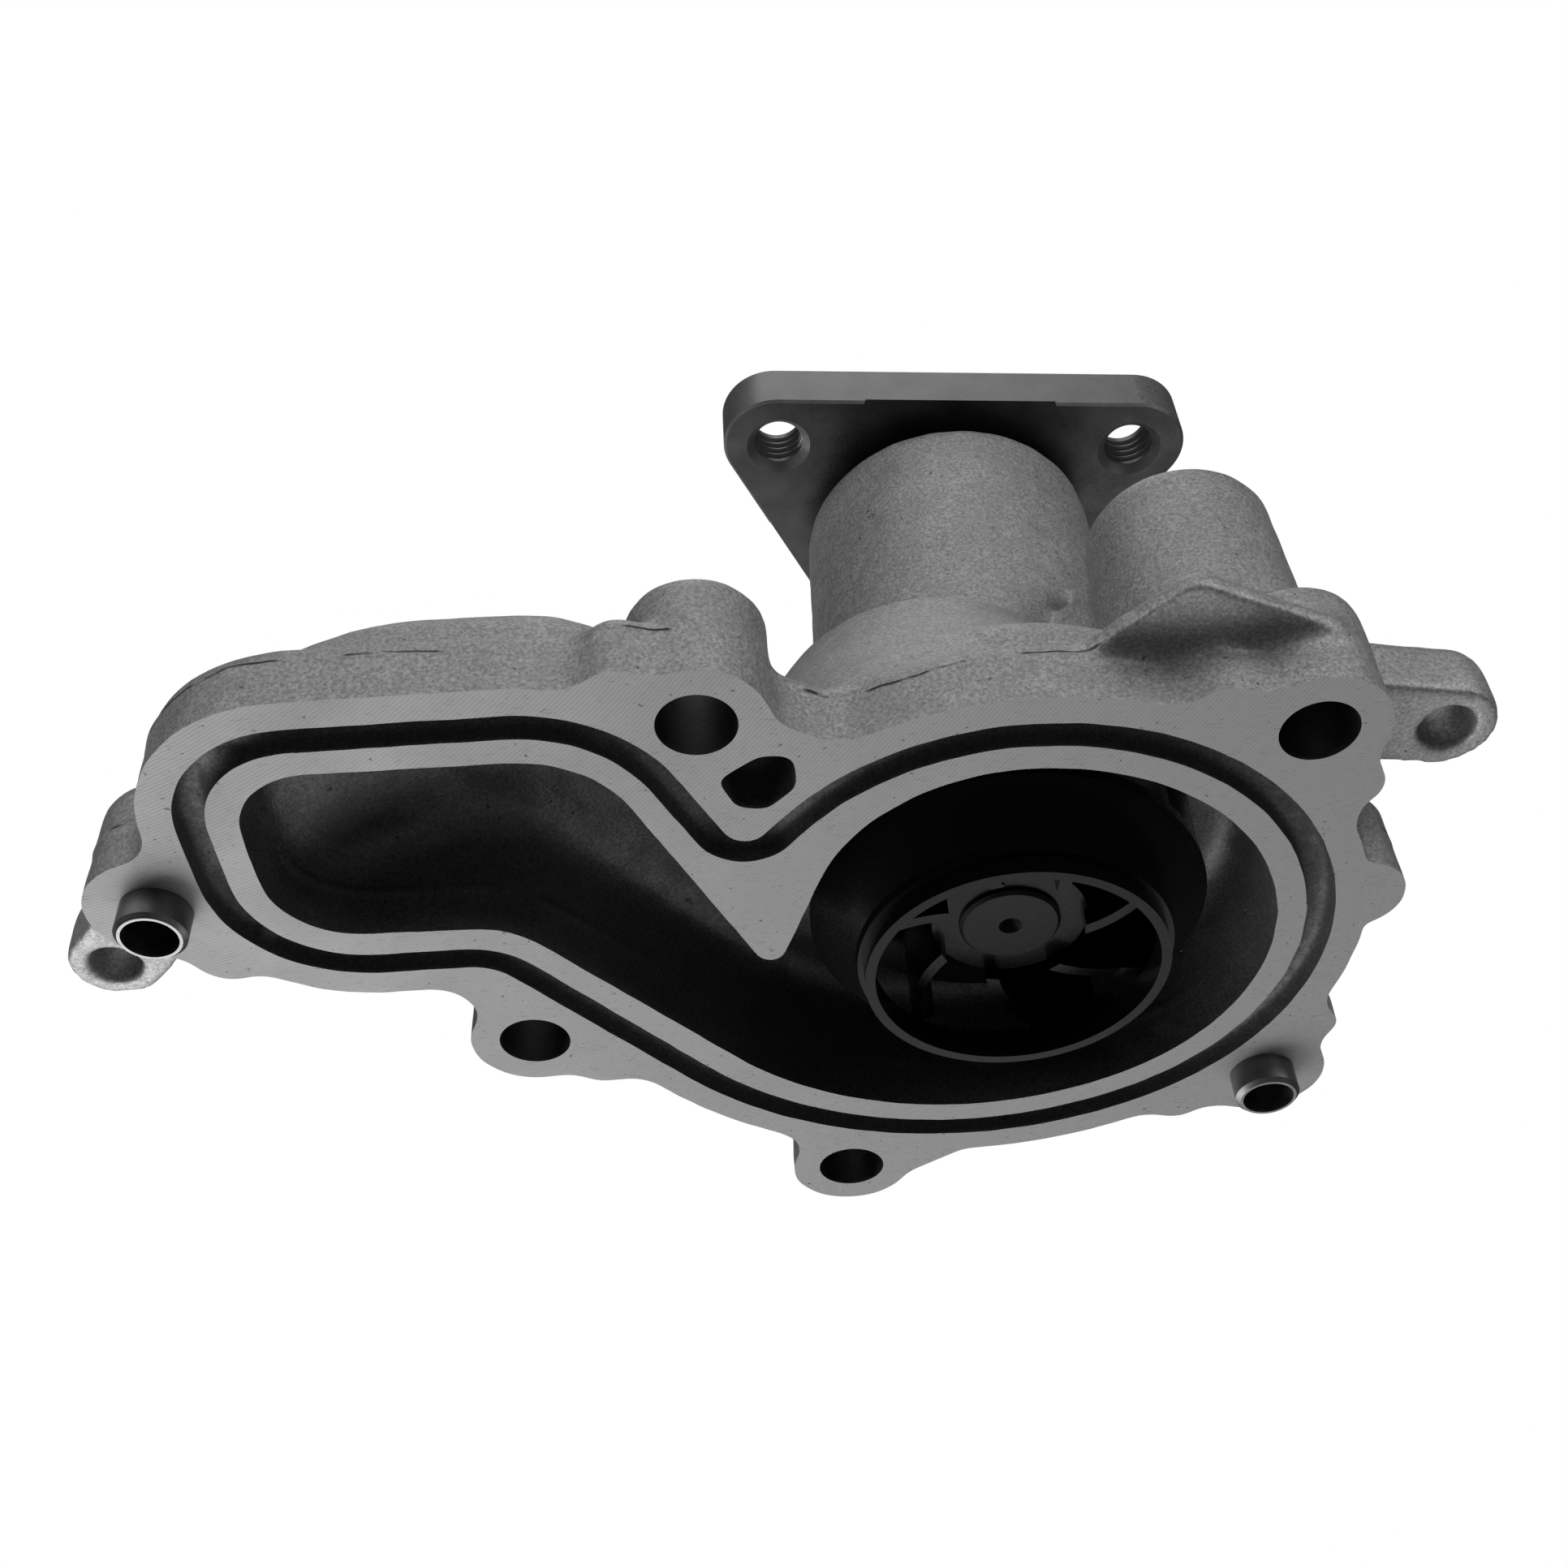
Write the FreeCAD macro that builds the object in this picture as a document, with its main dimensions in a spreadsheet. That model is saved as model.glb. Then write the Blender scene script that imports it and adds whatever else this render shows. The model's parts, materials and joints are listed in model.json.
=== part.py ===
import FreeCAD, Part
import math
import os
from FreeCAD import Rotation, Vector

# Water pump with a triangular hub flange, integral shaft bearing, cartridge
# seal and closed impeller.  Z is the shaft axis and points to the hub flange.
# Z = 0 is the machined mounting face; X is the plane's long direction.

doc = FreeCAD.newDocument("water_pump")

# ---------------------------------------------------------------- sizes (mm)
SIZES = {
    # casting
    "flange_thick": 8.8,          # plate behind the mounting face
    "chamber_radius": 30.2,       # volute at its round side
    "chamber_shift": -0.6,        # volute centre from the shaft axis, along Y
    "chamber_depth": 18.0,
    "tongue_round": 1.7,
    "chamber_round": 4.0,         # inside corner of the chamber roof
    "shell_wall": 4.2,
    "shell_round": 6.5,           # outside corner of the chamber roof
    "land_wide": 3.3,             # sealing land between chamber and groove
    "groove_wide": 3.3,
    "groove_deep": 3.0,
    "rim_wide": 3.7,              # face outside the groove
    "corner_blend": 5.0,          # plan blends between flange and bosses
    "plate_round": 1.6,           # back edge of the plate
    "snout_top": 76.0,
    "snout_radius": 19.9,         # at its top end
    "snout_draft": 1.4,           # total growth down to the chamber roof
    "snout_round": 2.0,
    "bolt_bore_radius": 4.25,     # M8 clearance
    "bolt_boss_radius": 7.66,
    "dowel_boss_radius": 7.9,
    # hollow dowels
    "dowel_radius": 4.0,          # free end
    "dowel_press": 0.05,          # the pressed end is this much larger
    "dowel_bore_radius": 3.15,
    "dowel_proud": 3.9,
    "dowel_deep": 7.0,
    # shaft and bearing
    "shaft_radius": 8.0,
    "shaft_nose_radius": 6.0,     # impeller seat
    "shaft_bottom": 4.0,
    "pilot_radius": 7.5,          # shaft end above the hub flange
    "pilot_long": 2.9,
    "race_wall": 2.44,            # outer race, from its bore to its outside
    "bearing_long": 39.0,
    "bearing_top_gap": 0.5,       # race end below the snout's end
    "ball_radius": 2.75,
    "ball_seat": 0.2,             # how far the balls sink into the shaft
    "ball_count": 9,
    "roller_radius": 2.25,
    "roller_long": 10.0,
    "roller_count": 11,
    "run_gap": 0.03,              # running clearance of rolling pieces
    "cage_gap": 0.15,
    "cage_thick": 2.2,
    "lip_seal_thick": 1.8,
    "lip_gap": 0.05,
    # cartridge seal
    "seal_flange_wide": 3.0,
    "seal_case_long": 12.0,
    "sheet_thick": 0.8,
    "sleeve_thick": 0.6,
    "face_ring_gap": 1.0,         # sleeve to the rubbing rings
    "face_ring_wide": 2.6,
    "seal_room": 2.8,             # rubbing rings to the outside of the case
    "seat_thick": 3.6,
    "carbon_thick": 3.4,
    "spring_wire": 0.3,           # wire radius
    "spring_gap": 0.3,            # least gap between its turns
    # impeller
    "impeller_radius": 23.5,
    "eye_radius": 16.5,
    "eye_wall": 1.2,
    "eye_face": -3.0,             # Z of the eye ring's end
    "shroud_edge": 6.7,           # Z of the shroud's outer edge
    "shroud_thick": 1.6,
    "disc_thick": 2.2,
    "disc_gap": 2.2,              # back disc to chamber roof
    "vane_count": 7,
    "vane_thick": 1.6,
    "insert_thick": 1.6,
    # hub flange
    "hub_gap": 2.5,               # snout end to the hub flange
    "hub_thick": 7.6,
    "hub_relief": 0.6,            # centre of the underside set back
    "hub_hole_circle": 28.5,      # radius of the hole circle
    "hub_corner_radius": 7.2,
    "hub_side": 21.7,             # axis to each straight side
    "hub_pad_edge": 22.2,         # axis to the corner pads' straight step
    "hub_turn": 5.0,              # degrees, as the shaft happens to stand
    "thread_minor": 3.35,         # M8 x 1.25
    "thread_major": 4.0,
    "thread_pitch": 1.25,
    "thread_mouth": 0.4,          # chamfer at both ends
    # reservoir boss beside the snout
    "reservoir_radius": 12.3,
    "reservoir_draft": 1.1,       # total, over the boss's height
    "reservoir_top": 43.0,
    "reservoir_bore": 8.5,
    "plug_deep": 4.0,
    "plug_wall": 1.0,
    "weep_radius": 2.0,
}

sheet = doc.addObject("Spreadsheet::Sheet", "sizes")
for row, (alias, value) in enumerate(SIZES.items(), start=1):
    sheet.set("A%d" % row, alias.replace("_", " "))
    sheet.set("B%d" % row, repr(value))
    sheet.setAlias("B%d" % row, alias)
doc.recompute()


def size(alias):
    """A driving size as a number, read from the sheet."""
    return float(sheet.get(alias))


def bearing_radius():
    """Outside of the bearing: the shaft, a roller with its clearances, and the race's wall."""
    return size("shaft_radius") + 2 * size("run_gap") + 2 * size("roller_radius") + size("race_wall")


def hub_bottom():
    """Z of the hub flange's underside, just clear of the snout."""
    return size("snout_top") + size("hub_gap")


def seal_radii():
    """Radii of the seal: sleeve, inside and outside of the rubbing rings, outside of the case."""
    sleeve = size("shaft_radius") + size("sleeve_thick")
    ring_in = sleeve + size("face_ring_gap")
    ring_out = ring_in + size("face_ring_wide")
    return sleeve, ring_in, ring_out, ring_out + size("seal_room")


# Places on the mounting face (X, Y).
BOLT_HOLES = {"a": (-34.0, -40.2), "b": (30.0, -33.7), "c": (-57.5, 11.3), "d": (-19.8, 43.8)}
BOLT_BOSS_TOP = {"a": 14.9, "b": 15.0, "c": 14.0, "d": 14.0}
DOWELS = {"left": (-95.2, -16.9), "right": (32.7, 27.8)}
DOWEL_BOSS_TOP = 13.0
RESERVOIR = (24.0, -25.2)
EARS = {"right": (47.5, -24.5), "left": (-107.0, 1.8)}
EAR_ROOTS = {"right": (34.0, -27.0), "left": (-93.0, -14.0)}
EAR_BOTTOM = 8.0
EAR_TOP = 15.8
EAR_RADIUS = 5.7
EAR_HOLE_RADIUS = 3.1
SLOT = (-28.2, -31.2)
SLOT_DEEP = 6.5
CASTING_ROUND = 1.5
COLLAR_TOP = 34.0               # cone between the plate and the snout
SHOULDER = (-7.0, -6.0)         # its fuller side, towards the outlet
SHOULDER_TOP = 36.0
LIP_LEVELS = (6.5, 9.0)         # thin shelf along the casting's parting line
VOLUTE_REACH = 1.06             # tangent length where the volute leaves its circle, in radii
BUMPS = [((-41.5, -44.4), 4.0), ((20.0, -37.2), 3.6), ((-49.5, 16.4), 4.2), ((37.8, 18.0), 2.8),
         ((22.5, 33.2), 3.4), ((-89.5, -8.6), 4.4), ((34.8, -25.2), 3.6)]
SIDE_KNOB = ((38.6, -6.5), 5.6, 12.0)   # place, radius and top of the knob on the volute's side
CORNER_ANGLES = (90, 210, 330)  # hub flange corners, before it is turned
CLEAR = 1.0                     # how far a cutting shape stands out of the face it cuts
BEARING_SHOULDER = 2.0          # step in the bore that the bearing stands on
SPRING_STEPS = 20               # straight lengths in one turn of the seal's spring
SLOPE_START = -62.0             # X from which the outlet's roof falls away
SLOPE = 0.5                     # its fall per millimetre
TOUCHING = 0.001


# ------------------------------------------------------------- plan outlines
def rounded_loop(corners, z=0.0):
    """Closed wire through corners (x, y, radius), straight between tangent arcs."""
    count = len(corners)
    arcs = []
    for i, (x, y, radius) in enumerate(corners):
        here = Vector(x, y, z)
        before = Vector(corners[i - 1][0], corners[i - 1][1], z) - here
        after = Vector(corners[(i + 1) % count][0], corners[(i + 1) % count][1], z) - here
        before.normalize()
        after.normalize()
        half = before.getAngle(after) / 2
        reach = radius / math.tan(half)
        middle = (before + after).normalize()
        apex = here + middle * (radius / math.sin(half) - radius)
        arcs.append((here + before * reach, apex, here + after * reach))
    edges = []
    for i in range(count):
        start, apex, end = arcs[i]
        following = arcs[(i + 1) % count][0]
        edges.append(Part.Arc(start, apex, end).toShape())
        if end.distanceToPoint(following) > TOUCHING:
            edges.append(Part.makeLine(end, following))
        else:
            arcs[(i + 1) % count] = (end,) + arcs[(i + 1) % count][1:]
    return Part.Wire(edges)


def circle_corners(radius, start, end, count, centre=(0.0, 0.0)):
    """Corners whose arcs join into part of one circle, angles in degrees."""
    step = math.radians((end - start) / count)
    reach = radius / math.cos(step / 2)
    corners = []
    for i in range(count):
        angle = math.radians(start) + step * (i + 0.5)
        corners.append((centre[0] + reach * math.cos(angle), centre[1] + reach * math.sin(angle), radius))
    return corners


def corner_into_circle(before, corner):
    """Corner whose arc from the line before it ends on the axis line, level with the corner."""
    turn = math.atan2(before[1] - corner[1], corner[0] - before[0])
    return corner[0], corner[1], abs(corner[0]) / math.tan(turn / 2)


def corner_out_of_circle(radius, centre, angle, onward):
    """Corner whose arc leaves a circle at an angle and heads for the point onward."""
    spoke = math.radians(angle)
    start = (centre[0] + radius * math.cos(spoke), centre[1] + radius * math.sin(spoke))
    heading = math.radians(angle + 90)
    reach = VOLUTE_REACH * radius
    corner = (start[0] + reach * math.cos(heading), start[1] + reach * math.sin(heading))
    turn = math.atan2(onward[1] - corner[1], onward[0] - corner[0]) - heading
    turn = (turn + math.pi) % (2 * math.pi) - math.pi
    return corner[0], corner[1], reach / math.tan(abs(turn) / 2)


def chamber_loop():
    """The opening in the face: outlet pocket, tongue, then the growing volute."""
    radius = size("chamber_radius")
    centre = (0.0, size("chamber_shift"))
    tongue = (-28.1, 1.4, size("tongue_round"))
    bend = (-57.2, -10.3, 10.0)
    return rounded_loop(
        [(-83.0, -36.8, 8.5), (-45.3, -36.4, 13.0), tongue]
        + [corner_into_circle(tongue, (-16.8, centre[1] - radius))]
        + circle_corners(radius, -90, 60, 3, centre)
        + [corner_out_of_circle(radius, centre, 60, bend), bend, (-83.0, -11.0, 10.0)]
    )


def groove_loop():
    """Middle line of the gasket groove."""
    out = size("land_wide") + size("groove_wide") / 2
    radius = size("chamber_radius") + out
    centre = (0.0, size("chamber_shift"))
    tongue = (-30.9, -17.2, 4.1)
    bend = (-59.5, -10.3 + out, 8.0)
    return rounded_loop(
        [(-83.0 - out, -36.6 - out, 12.5), (-42.8, -36.6 - out, 17.0), tongue]
        + [corner_into_circle(tongue, (-15.4, centre[1] - radius))]
        + circle_corners(radius, -90, 60, 3, centre)
        + [corner_out_of_circle(radius, centre, 60, bend), bend, (-83.0 - out, -10.3 + out, 15.0)]
    )


def disc(centre, radius):
    """Flat round face on the mounting plane."""
    return Part.Face(Part.Wire(Part.makeCircle(radius, Vector(centre[0], centre[1], 0))))


def bar(start, end, half_wide):
    """Flat face: a bar with round ends between two places."""
    along = Vector(end[0] - start[0], end[1] - start[1], 0)
    side = Vector(-along.y, along.x, 0).normalize() * half_wide
    tip = Vector(along).normalize() * half_wide
    first = Vector(start[0], start[1], 0)
    last = Vector(end[0], end[1], 0)
    edges = [
        Part.makeLine(first - side, last - side),
        Part.Arc(last - side, last + tip, last + side).toShape(),
        Part.makeLine(last + side, first + side),
        Part.Arc(first + side, first - tip, first - side).toShape(),
    ]
    return Part.Face(Part.Wire(edges))


def merged(faces, blend):
    """One face from several, with its inward corners rounded to the blend."""
    joined = faces[0].multiFuse(faces[1:]).removeSplitter()
    outline = Part.Face(joined.Faces[0].OuterWire)
    grown = outline.makeOffset2D(blend)
    return Part.Face(grown.makeOffset2D(-blend).Wires[0])


def raised(face, bottom, top):
    """Straight solid on a flat face, between two heights."""
    solid = face.extrude(Vector(0, 0, top - bottom))
    solid.translate(Vector(0, 0, bottom))
    return solid


def rounded_top(solid, radius):
    """The solid with the edges round its top faces rounded."""
    top = solid.BoundBox.ZMax
    edges = [edge for edge in solid.Edges if edge.BoundBox.ZMin > top - 0.001]
    return solid.makeFillet(radius, edges)


def flange_face():
    """Mounting plate outline: groove rim, bolt and dowel bosses and small bumps."""
    rim = Part.Face(groove_loop()).makeOffset2D(size("groove_wide") / 2 + size("rim_wide"))
    faces = [Part.Face(rim.Wires[0])]
    faces += [disc(place, size("bolt_boss_radius")) for place in BOLT_HOLES.values()]
    faces += [disc(place, size("dowel_boss_radius")) for place in DOWELS.values()]
    faces += [disc(place, radius) for place, radius in BUMPS]
    faces += [
        Part.Face(rounded_loop([(-41.0, -42.0, 2.0), (-26.5, -40.0, 2.0), (-16.0, -34.0, 2.0),
                                (-28.0, -20.0, 2.0)])),
        bar(BOLT_HOLES["c"], (-50.0, -2.0), 6.5),
        bar(BOLT_HOLES["d"], (-8.0, 36.0), 6.0),
        bar(DOWELS["left"], (-86.0, -20.0), 7.0),
        bar(DOWELS["right"], (26.0, 24.0), 6.5),
        bar(BOLT_HOLES["b"], (24.0, -28.0), 6.5),
    ]
    return merged(faces, size("corner_blend"))


# ------------------------------------------------------------------- casting
def above_slope(roof):
    """What stands over the outlet's falling roof, to be cut from a solid whose roof is level."""
    far = SLOPE_START - 60.0
    side = Part.makePolygon([Vector(SLOPE_START, -80, roof), Vector(far, -80, roof - SLOPE * 60.0),
                             Vector(far, -80, roof + CLEAR), Vector(SLOPE_START, -80, roof + CLEAR),
                             Vector(SLOPE_START, -80, roof)])
    return Part.Face(side).extrude(Vector(0, 160, 0))


def casting_blank():
    """The raw casting before any opening is made."""
    plate = rounded_top(raised(flange_face(), 0, size("flange_thick")), size("plate_round"))
    roof = size("chamber_depth") + size("shell_wall")
    outer = Part.Face(chamber_loop()).makeOffset2D(size("shell_wall"))
    shell = rounded_top(raised(Part.Face(outer.Wires[0]), 0, roof), size("shell_round"))
    shell = shell.cut(above_slope(roof))
    snout_top = size("snout_top")
    snout = Part.makeCone(size("snout_radius") + size("snout_draft"), size("snout_radius"),
                          snout_top - size("chamber_depth"), Vector(0, 0, size("chamber_depth")))
    snout = rounded_top(snout, size("snout_round"))
    root = size("snout_radius") + size("snout_draft")
    thick = size("flange_thick")
    collar = Part.makeCone(size("chamber_radius") + size("shell_wall") + 4.0, root, COLLAR_TOP - thick,
                           Vector(0, 0, thick))
    shoulder = Part.makeCone(root + 11.0, root - 3.0, SHOULDER_TOP - thick,
                             Vector(SHOULDER[0], SHOULDER[1], thick))
    solids = [shell, snout, collar, rounded_top(shoulder, size("snout_round"))]
    for name, place in BOLT_HOLES.items():
        boss = raised(disc(place, size("bolt_boss_radius")), 0, BOLT_BOSS_TOP[name])
        solids.append(rounded_top(boss, CASTING_ROUND))
    for place in DOWELS.values():
        boss = raised(disc(place, size("dowel_boss_radius")), 0, DOWEL_BOSS_TOP)
        solids.append(rounded_top(boss, CASTING_ROUND))
    place, radius, top = SIDE_KNOB
    solids.append(rounded_top(raised(disc(place, radius), 0, top), size("snout_round")))
    tall = Part.makeCone(size("reservoir_radius"), size("reservoir_radius") - size("reservoir_draft"),
                         size("reservoir_top") - EAR_BOTTOM, Vector(RESERVOIR[0], RESERVOIR[1], EAR_BOTTOM))
    solids.append(rounded_top(tall, size("snout_round")))
    solids.append(raised(bar((0, 0), RESERVOIR, 7.0), EAR_BOTTOM, size("reservoir_top") - 6.0))
    lip = rounded_loop([(5.0, -39.5, 2.0), (17.0, -49.4, 2.5), (34.0, -41.0, 2.0), (30.0, -28.0, 4.0),
                        (10.0, -28.0, 4.0)])
    solids.append(raised(Part.Face(lip), LIP_LEVELS[0], LIP_LEVELS[1]))
    for name, place in EARS.items():
        ear = raised(bar(EAR_ROOTS[name], place, EAR_RADIUS), EAR_BOTTOM, EAR_TOP)
        solids.append(rounded_top(ear, CASTING_ROUND))
    return plate.multiFuse(solids).removeSplitter()


def casting_openings():
    """Everything cast or machined away: chamber, groove, bores and passages."""
    chamber = raised(Part.Face(chamber_loop()), -1.0, size("chamber_depth"))
    chamber = rounded_top(chamber, size("chamber_round")).cut(above_slope(size("chamber_depth")))
    half = size("groove_wide") / 2
    line = Part.Face(groove_loop())
    groove = Part.Face(line.makeOffset2D(half).Wires[0]).cut(Part.Face(line.makeOffset2D(-half).Wires[0]))
    openings = [chamber, raised(groove, -1.0, size("groove_deep"))]
    for name, place in BOLT_HOLES.items():
        openings.append(Part.makeCylinder(size("bolt_bore_radius"), BOLT_BOSS_TOP[name] + 2.0,
                                          Vector(place[0], place[1], -1.0)))
    for place in DOWELS.values():
        openings.append(Part.makeCylinder(size("dowel_radius") + size("dowel_press"),
                                          size("dowel_deep") + CLEAR, Vector(place[0], place[1], -CLEAR)))
    for place in EARS.values():
        openings.append(Part.makeCylinder(EAR_HOLE_RADIUS, EAR_TOP,
                                          Vector(place[0], place[1], EAR_BOTTOM - CLEAR)))
    slot = rounded_loop([(SLOT[0] - 4.3, SLOT[1] - 0.8, 0.9), (SLOT[0] + 0.2, SLOT[1] - 4.0, 1.5),
                         (SLOT[0] + 3.9, SLOT[1] - 3.8, 1.7), (SLOT[0] + 3.9, SLOT[1] + 1.0, 1.5),
                         (SLOT[0] + 0.6, SLOT[1] + 4.2, 1.6), (SLOT[0] - 2.6, SLOT[1] + 3.4, 1.2)])
    openings.append(raised(Part.Face(slot), -1.0, SLOT_DEEP))
    # stepped bore along the shaft: seal flange, seal case, weep space, bearing
    seat = size("chamber_depth")
    case_end = seat + size("seal_case_long")
    bearing_start = size("snout_top") - size("bearing_top_gap") - size("bearing_long")
    seal_bore = seal_radii()[-1]
    openings += [
        Part.makeCylinder(seal_bore + size("seal_flange_wide"), seat + size("sheet_thick"), Vector(0, 0, 0)),
        Part.makeCylinder(seal_bore, case_end, Vector(0, 0, 0)),
        Part.makeCylinder(bearing_radius() - BEARING_SHOULDER, size("snout_top"), Vector(0, 0, 0)),
        Part.makeCylinder(bearing_radius(), size("snout_top"), Vector(0, 0, bearing_start))]
    # weep passage from behind the seal into the reservoir, which is open on top
    weep_height = (case_end + bearing_start) / 2
    outward = Vector(RESERVOIR[0], RESERVOIR[1], 0)
    openings.append(Part.makeCylinder(size("weep_radius"), outward.Length, Vector(0, 0, weep_height),
                                      outward))
    openings.append(Part.makeCylinder(size("reservoir_bore"), size("reservoir_top"),
                                      Vector(RESERVOIR[0], RESERVOIR[1], seat + 2 * size("shell_wall"))))
    return openings


def make_housing():
    """The die-cast housing, in one piece from mounting face to bearing end."""
    blank = doc.addObject("Part::Feature", "casting_blank")
    blank.Shape = casting_blank()
    tools = []
    for i, shape in enumerate(casting_openings()):
        tool = doc.addObject("Part::Feature", "opening_%02d" % i)
        tool.Shape = shape
        tools.append(tool)
    together = doc.addObject("Part::MultiFuse", "openings")
    together.Shapes = tools
    housing = doc.addObject("Part::Cut", "pump_housing")
    housing.Base = blank
    housing.Tool = together
    return housing


# ------------------------------------------------------------ round primitives
def cylinder(name, radius, height, z, place=("0", "0")):
    """Part::Cylinder with every size bound to the sheet."""
    body = doc.addObject("Part::Cylinder", name)
    body.setExpression("Radius", radius)
    body.setExpression("Height", height)
    body.setExpression("Placement.Base.x", place[0])
    body.setExpression("Placement.Base.y", place[1])
    body.setExpression("Placement.Base.z", z)
    return body


def cut(name, base, tool):
    body = doc.addObject("Part::Cut", name)
    body.Base = base
    body.Tool = tool
    return body


def fuse(name, pieces):
    body = doc.addObject("Part::MultiFuse", name)
    body.Shapes = pieces
    return body


def ring(name, outer, inner, height, z, place=("0", "0")):
    """Plain ring: outer radius, inner radius, height and Z, all as expressions."""
    rim = cylinder(name + "_rim", outer, height, z, place)
    hole = cylinder(name + "_hole", inner, "(%s) + 2 mm" % height, "(%s) - 1 mm" % z, place)
    return cut(name, rim, hole)


def mm(text):
    """Sheet aliases in a formula, turned into lengths."""
    for alias in sorted(SIZES, key=len, reverse=True):
        text = text.replace("{" + alias + "}", "(sizes.%s * 1 mm)" % alias)
    return text


def torus(name, major, minor, z):
    body = doc.addObject("Part::Torus", name)
    body.setExpression("Radius1", major)
    body.setExpression("Radius2", minor)
    body.setExpression("Placement.Base.z", z)
    return body


def feature(name, shape):
    """A piece whose shape is worked out here from the sheet."""
    body = doc.addObject("Part::Feature", name)
    body.Shape = shape
    return body


def around(shape, count, start=0.0):
    """Copies of a shape spread evenly round the shaft."""
    copies = []
    for i in range(count):
        copy = shape.copy()
        copy.rotate(Vector(0, 0, 0), Vector(0, 0, 1), start + 360.0 * i / count)
        copies.append(copy)
    return copies


# ----------------------------------------------------------------- the pieces
def make_dowel(side):
    """Hollow locating dowel with chamfered ends."""
    x, y = DOWELS[side]
    outer = size("dowel_radius")
    inner = size("dowel_bore_radius")
    bottom = -size("dowel_proud")
    top = size("dowel_deep")
    lead = 0.5
    pressed = outer + size("dowel_press")
    neck = outer - size("dowel_press") * 5            # relief between the free and the pressed end
    profile = Part.makePolygon([Vector(inner, 0, bottom), Vector(outer - lead, 0, bottom),
                                Vector(outer, 0, bottom + lead), Vector(outer, 0, 0), Vector(neck, 0, 0),
                                Vector(neck, 0, lead), Vector(pressed, 0, lead),
                                Vector(pressed, 0, top - lead), Vector(outer - lead, 0, top),
                                Vector(inner, 0, top), Vector(inner, 0, bottom)])
    tube = Part.Face(profile).revolve(Vector(0, 0, 0), Vector(0, 0, 1), 360)
    body = feature("dowel_" + side, tube)
    body.Placement.Base = Vector(x, y, 0)
    return body


BEARING_START = "{snout_top} - {bearing_top_gap} - {bearing_long}"
BALL_PITCH = "({shaft_radius} - {ball_seat} + {ball_radius})"
RACE_BORE = "({shaft_radius} + 2 * {run_gap} + 2 * {roller_radius})"
BALL_LEVEL = "(" + BEARING_START + " + 10.5 mm)"
ROLLER_LEVEL = "(" + BEARING_START + " + 27 mm)"


def bearing_levels():
    """Middle heights of the ball row and the roller row, as numbers."""
    start = size("snout_top") - size("bearing_top_gap") - size("bearing_long")
    return start, start + 10.5, start + 27.0


def make_outer_race():
    blank = ring("race_blank", mm(RACE_BORE + " + {race_wall}"), mm(RACE_BORE), mm("{bearing_long}"),
                 mm(BEARING_START))
    groove = torus("race_groove", mm(BALL_PITCH), mm("{ball_radius} + {run_gap}"), mm(BALL_LEVEL))
    return cut("bearing_outer_race", blank, groove)


def make_shaft():
    """Stepped shaft that is also the bearing's inner race."""
    step = size("chamber_depth") + 1.0
    lead = 0.8
    big = size("shaft_radius")
    small = size("shaft_nose_radius")
    bottom = size("shaft_bottom")
    pilot = size("pilot_radius")
    hub_top = hub_bottom() + size("hub_thick")
    top = hub_top + size("pilot_long")
    points = [(0, bottom), (small - 0.4, bottom), (small, bottom + 0.4), (small, step), (big - 0.4, step),
              (big, step + 0.4), (big, hub_top), (pilot, hub_top), (pilot, top - lead), (pilot - lead, top),
              (0, top), (0, bottom)]
    profile = Part.makePolygon([Vector(radius, 0, z) for radius, z in points])
    blank = feature("shaft_blank", Part.Face(profile).revolve(Vector(0, 0, 0), Vector(0, 0, 1), 360))
    groove = torus("shaft_groove", mm(BALL_PITCH), mm("{ball_radius} + {run_gap}"), mm(BALL_LEVEL))
    centre = doc.addObject("Part::Cone", "shaft_centre_mark")
    centre.Radius1 = 1.4
    centre.Radius2 = 0.2
    centre.Height = 1.6
    centre.setExpression("Placement.Base.z", mm("{shaft_bottom}"))
    return cut("pump_shaft", blank, fuse("shaft_cuts", [groove, centre]))


def make_rolling_rows():
    """Balls, rollers and their cages."""
    start, ball_z, roller_z = bearing_levels()
    ball_pitch = size("shaft_radius") - size("ball_seat") + size("ball_radius")
    roller_pitch = size("shaft_radius") + size("run_gap") + size("roller_radius")
    ball_count = int(size("ball_count"))
    roller_count = int(size("roller_count"))
    balls = around(Part.makeSphere(size("ball_radius"), Vector(ball_pitch, 0, ball_z)), ball_count)
    long = size("roller_long")
    roller = Part.makeCylinder(size("roller_radius"), long, Vector(roller_pitch, 0, roller_z - long / 2))
    roller = roller.makeFillet(0.3, [edge for edge in roller.Edges if len(edge.Vertexes) == 1])
    rollers = around(roller, roller_count)
    cages = []
    gap = size("cage_gap")
    thick = size("cage_thick")
    for pitch, middle, half, pocket, count in (
            (ball_pitch, ball_z, size("ball_radius") + 1.4,
             Part.makeCylinder(size("ball_radius") + gap, 2 * thick, Vector(ball_pitch - thick, 0, ball_z),
                               Vector(1, 0, 0)), ball_count),
            (roller_pitch, roller_z, long / 2 + 1.6,
             Part.makeCylinder(size("roller_radius") + gap, long + 2 * gap,
                               Vector(roller_pitch, 0, roller_z - long / 2 - gap)), roller_count)):
        outer = Part.makeCylinder(pitch + thick / 2, 2 * half, Vector(0, 0, middle - half))
        inner = Part.makeCylinder(pitch - thick / 2, 2 * half, Vector(0, 0, middle - half))
        cages.append(outer.cut(inner).cut(Part.makeCompound(around(pocket, count))))
    return [feature("bearing_balls", Part.makeCompound(balls)), feature("ball_cage", cages[0]),
            feature("bearing_rollers", Part.makeCompound(rollers)), feature("roller_cage", cages[1])]


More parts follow.
